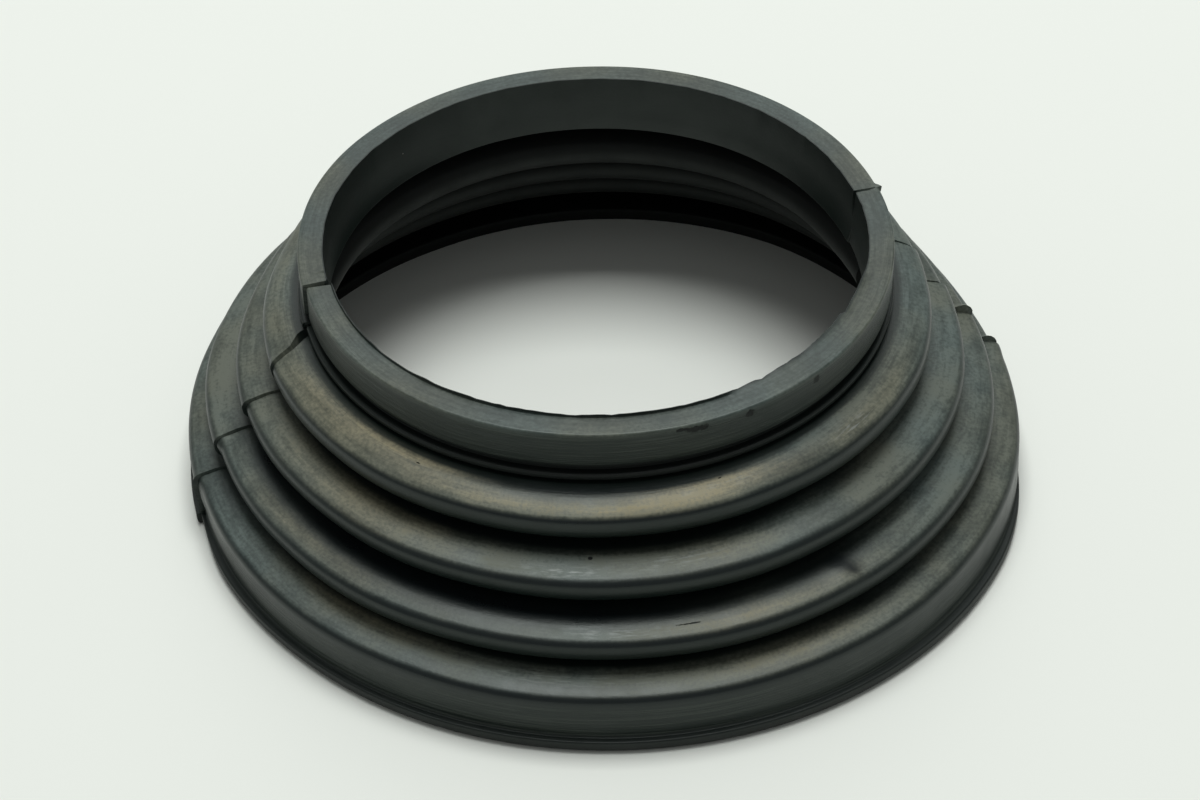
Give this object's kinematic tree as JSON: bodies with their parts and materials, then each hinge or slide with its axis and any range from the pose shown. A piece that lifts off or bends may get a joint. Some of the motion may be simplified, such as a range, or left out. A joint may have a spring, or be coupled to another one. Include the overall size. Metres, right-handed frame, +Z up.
{
  "type": "swingarm rubber bellows",
  "caption": "Low conical rubber bellows with a plain collar, stepped folds and a flanged foot, open right through.",
  "frame": {"origin": "centre of the foot's flat underside, on the surface it stands on", "axes": "+Z up along the axis of the bellows, from the wide foot to the narrow collar; the mould's parting line crosses +X and -X"},
  "size_m": [0.125, 0.125, 0.039],
  "materials": {
    "moulded_rubber": "satin black moulded rubber with a thin brown-grey bloom on the treads of the folds"
  },
  "bodies": {
    "root": {"rubber_bellows": "moulded_rubber"}
  },
  "joints": []
}
